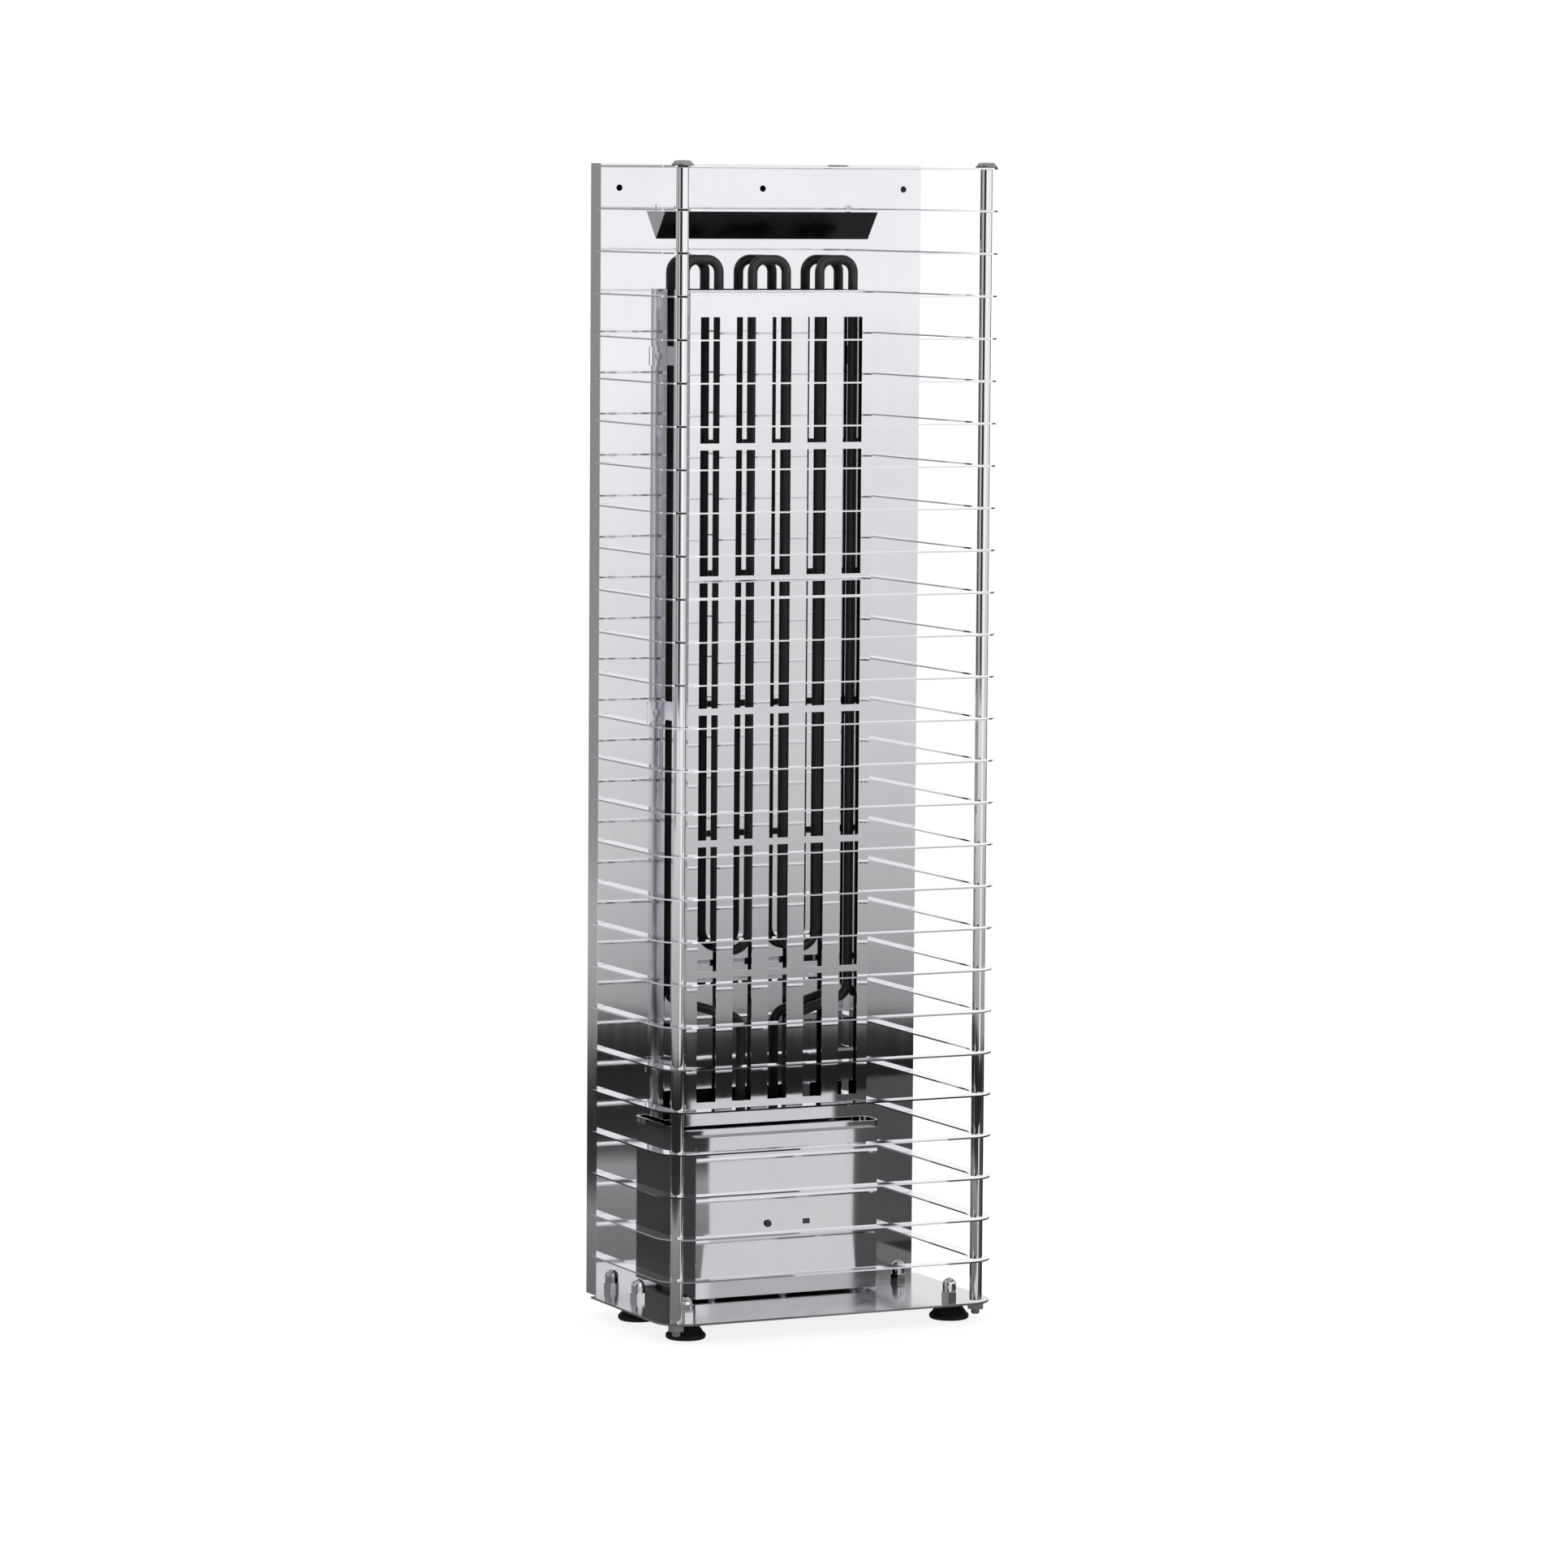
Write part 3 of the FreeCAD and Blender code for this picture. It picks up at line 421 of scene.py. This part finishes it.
# ---------------------------------------------------------------- studio
def glow(name, level, stops=None, reach=None):
    """Emitting stage material of one level, or of stops of (distance, level) from the heater."""
    mat = bpy.data.materials.new(name)
    mat.use_nodes = True
    tree = mat.node_tree
    tree.nodes.remove(tree.nodes["Principled BSDF"])
    light = tree.nodes.new("ShaderNodeEmission")
    tree.links.new(light.outputs[0], tree.nodes["Material Output"].inputs["Surface"])
    light.inputs["Color"].default_value = (level, level, level, 1)
    if stops is None:
        return mat
    place = tree.nodes.new("ShaderNodeTexCoord").outputs["Object"]
    far = tree.nodes.new("ShaderNodeVectorMath")
    far.operation = "LENGTH"
    tree.links.new(place, far.inputs[0])
    part = tree.nodes.new("ShaderNodeMath")
    part.operation = "DIVIDE"
    part.inputs[1].default_value = reach
    tree.links.new(far.outputs["Value"], part.inputs[0])
    ramp = tree.nodes.new("ShaderNodeValToRGB")
    band = ramp.color_ramp
    while len(band.elements) < len(stops):
        band.elements.new(0.5)
    for element, (at, shade) in zip(band.elements, stops):
        element.position = at / reach
        element.color = (shade, shade, shade, 1)
    tree.links.new(part.outputs[0], ramp.inputs["Fac"])
    tree.links.new(ramp.outputs["Color"], light.inputs["Color"])
    return mat


def lean(mat, start, stop, gain):
    """Makes a faded stage material stronger on one side: gain before the start angle, one after stop."""
    tree = mat.node_tree
    split = tree.nodes.new("ShaderNodeSeparateXYZ")
    tree.links.new(tree.nodes["Texture Coordinate"].outputs["Object"], split.inputs[0])
    flip = tree.nodes.new("ShaderNodeMath")
    flip.operation = "MULTIPLY"
    flip.inputs[1].default_value = -1.0
    tree.links.new(split.outputs["Y"], flip.inputs[0])
    angle = tree.nodes.new("ShaderNodeMath")
    angle.operation = "ARCTAN2"
    tree.links.new(split.outputs["X"], angle.inputs[0])
    tree.links.new(flip.outputs[0], angle.inputs[1])
    amount = tree.nodes.new("ShaderNodeMapRange")
    for key, number in (("From Min", math.radians(start)), ("From Max", math.radians(stop)),
                        ("To Min", gain), ("To Max", 1.0)):
        amount.inputs[key].default_value = number
    tree.links.new(angle.outputs[0], amount.inputs["Value"])
    tree.links.new(amount.outputs["Result"], tree.nodes["Emission"].inputs["Strength"])
    return mat


def stage_mesh(name, corners, faces, mat, reflected_only=True):
    """A stage surface; most are seen only in reflections."""
    mesh = bpy.data.meshes.new(name)
    mesh.from_pydata(corners, [], faces)
    mesh.materials.append(mat)
    obj = bpy.data.objects.new(name, mesh)
    bpy.context.collection.objects.link(obj)
    if reflected_only:
        obj.visible_camera = False
        obj.visible_diffuse = False
        obj.visible_shadow = False
        obj.visible_transmission = False
    obj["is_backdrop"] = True
    return obj


def card(name, corners, mat, reflected_only=True):
    return stage_mesh(name, corners, [tuple(range(len(corners)))], mat, reflected_only)


def level_card(name, half, z, mat, reflected_only=True):
    """Square card lying flat round the heater."""
    corners = [(-half, -half, z), (half, -half, z), (half, half, z), (-half, half, z)]
    return card(name, corners, mat, reflected_only)


def wall(name, radius, start, stop, high, mat, steps=8):
    """Upright curved card round the heater; angles run from the front, positive to the right."""
    spots = []
    for k in range(steps + 1):
        angle = math.radians(start + (stop - start) * k / steps)
        spots.append((radius * math.sin(angle), -radius * math.cos(angle)))
    corners = [(x, y, 0.0) for x, y in spots] + [(x, y, high) for x, y in reversed(spots)]
    count = len(corners)
    faces = [(k, k + 1, count - 2 - k, count - 1 - k) for k in range(steps)]
    return stage_mesh(name, corners, faces, mat)


WIDE = 40.0
paint = bpy.data.materials.new("floor_white")
paint.use_nodes = True
for socket, value in (("Base Color", (0.2, 0.2, 0.2, 1)), ("Roughness", 0.9),
                      ("Emission Color", (1, 1, 1, 1)), ("Emission Strength", 0.84)):
    paint.node_tree.nodes["Principled BSDF"].inputs[socket].default_value = value
floor = level_card("floor", WIDE, 0.0, paint, reflected_only=False)
floor.visible_glossy = False

SHEEN = [(0.0, 0.14), (0.50, 0.19), (0.86, 0.28), (0.96, 0.030), (1.70, 0.015), (1.95, 0.035), (2.05, 0.06),
         (2.22, 0.33), (3.2, 0.47), (4.5, 0.60), (6.6, 0.74), (15.0, 0.88), (30.0, 1.0)]
sheen = lean(glow("floor_sheen", 1.0, SHEEN, reach=30.0), start=21.0, stop=25.5, gain=1.22)
level_card("floor_sheen", WIDE, 0.001, sheen)
BLACK_CARD = glow("card_black", 0.03)
SMOKE_CARD = glow("card_smoke", 0.085)
DARK_CARD = glow("card_dark", 0.055)
GREY_CARD = glow("card_grey", 0.34)
DIM_CARD = glow("card_dim", 0.42)
WHITE_CARD = glow("card_white", 1.15)
LOW_CARD = glow("card_low", 0.72)
card("flag_side", [(0.27, -0.28, 0.003), (2.2, -0.28, 0.003), (2.2, 1.2, 0.003), (0.27, 1.2, 0.003)],
     BLACK_CARD)
card("low_light", [(0.125, -0.44, 0.002), (0.29, -0.44, 0.002), (0.29, -0.44, 0.137),
                   (0.125, -0.44, 0.137)], LOW_CARD)
card("low_light_floor", [(0.0, -0.19, 0.004), (0.17, -0.19, 0.004), (0.29, -0.44, 0.004),
                         (0.12, -0.44, 0.004)], LOW_CARD)
card("low_flag", [(0.29, -0.44, 0.002), (1.1, -0.44, 0.002), (1.1, -0.44, 0.137),
                  (0.29, -0.44, 0.137)], SMOKE_CARD)
card("low_flag_floor", [(0.17, -0.19, 0.004), (1.1, -0.19, 0.004), (1.1, -0.44, 0.004),
                        (0.29, -0.44, 0.004)], SMOKE_CARD)
wall("strip_light", 2.0, -3.0, 17.0, 2.6, WHITE_CARD)
wall("flag_camera", 7.5, -68.0, -31.0, 3.2, BLACK_CARD)
wall("grey_camera", 7.2, -31.0, -21.0, 3.2, DIM_CARD)
wall("flag_left", 5.0, -130.0, -78.0, 3.2, GREY_CARD)
wall("flag_behind", 4.0, -176.0, -138.0, 3.2, glow("card_behind", 0.36))
wall("flag_right", 3.0, 86.0, 110.0, 2.6, DARK_CARD)

world = bpy.data.worlds.new("studio")
world.use_nodes = True
world.node_tree.nodes["Background"].inputs["Color"].default_value = (1, 1, 1, 1)
world.node_tree.nodes["Background"].inputs["Strength"].default_value = 1.06
bpy.context.scene.world = world
bpy.context.scene.view_settings.view_transform = "Standard"

# ---------------------------------------------------------------- camera
PLACE = (-2.664, -5.5695, 1.087)
LENS_MM = 149.4
YAW, PITCH, ROLL = (math.radians(a) for a in (25.48, 5.30, 0.406))
ahead = Vector((math.sin(YAW) * math.cos(PITCH), math.cos(YAW) * math.cos(PITCH), -math.sin(PITCH)))
right = Vector((math.cos(YAW), -math.sin(YAW), 0))
up = right.cross(ahead)
tilt_right = right * math.cos(ROLL) + up * math.sin(ROLL)
tilt_up = up * math.cos(ROLL) - right * math.sin(ROLL)
camera = bpy.data.objects.new("camera", bpy.data.cameras.new("camera"))
bpy.context.collection.objects.link(camera)
camera.matrix_world = Matrix.Translation(PLACE) @ Matrix(
    (tilt_right, tilt_up, -ahead)).transposed().to_4x4()
camera.data.lens = LENS_MM
camera.data.sensor_width = 36.0
camera.data.clip_end = 100
bpy.context.scene.camera = camera

# ---------------------------------------------------------------- sizes and finish
low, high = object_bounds()
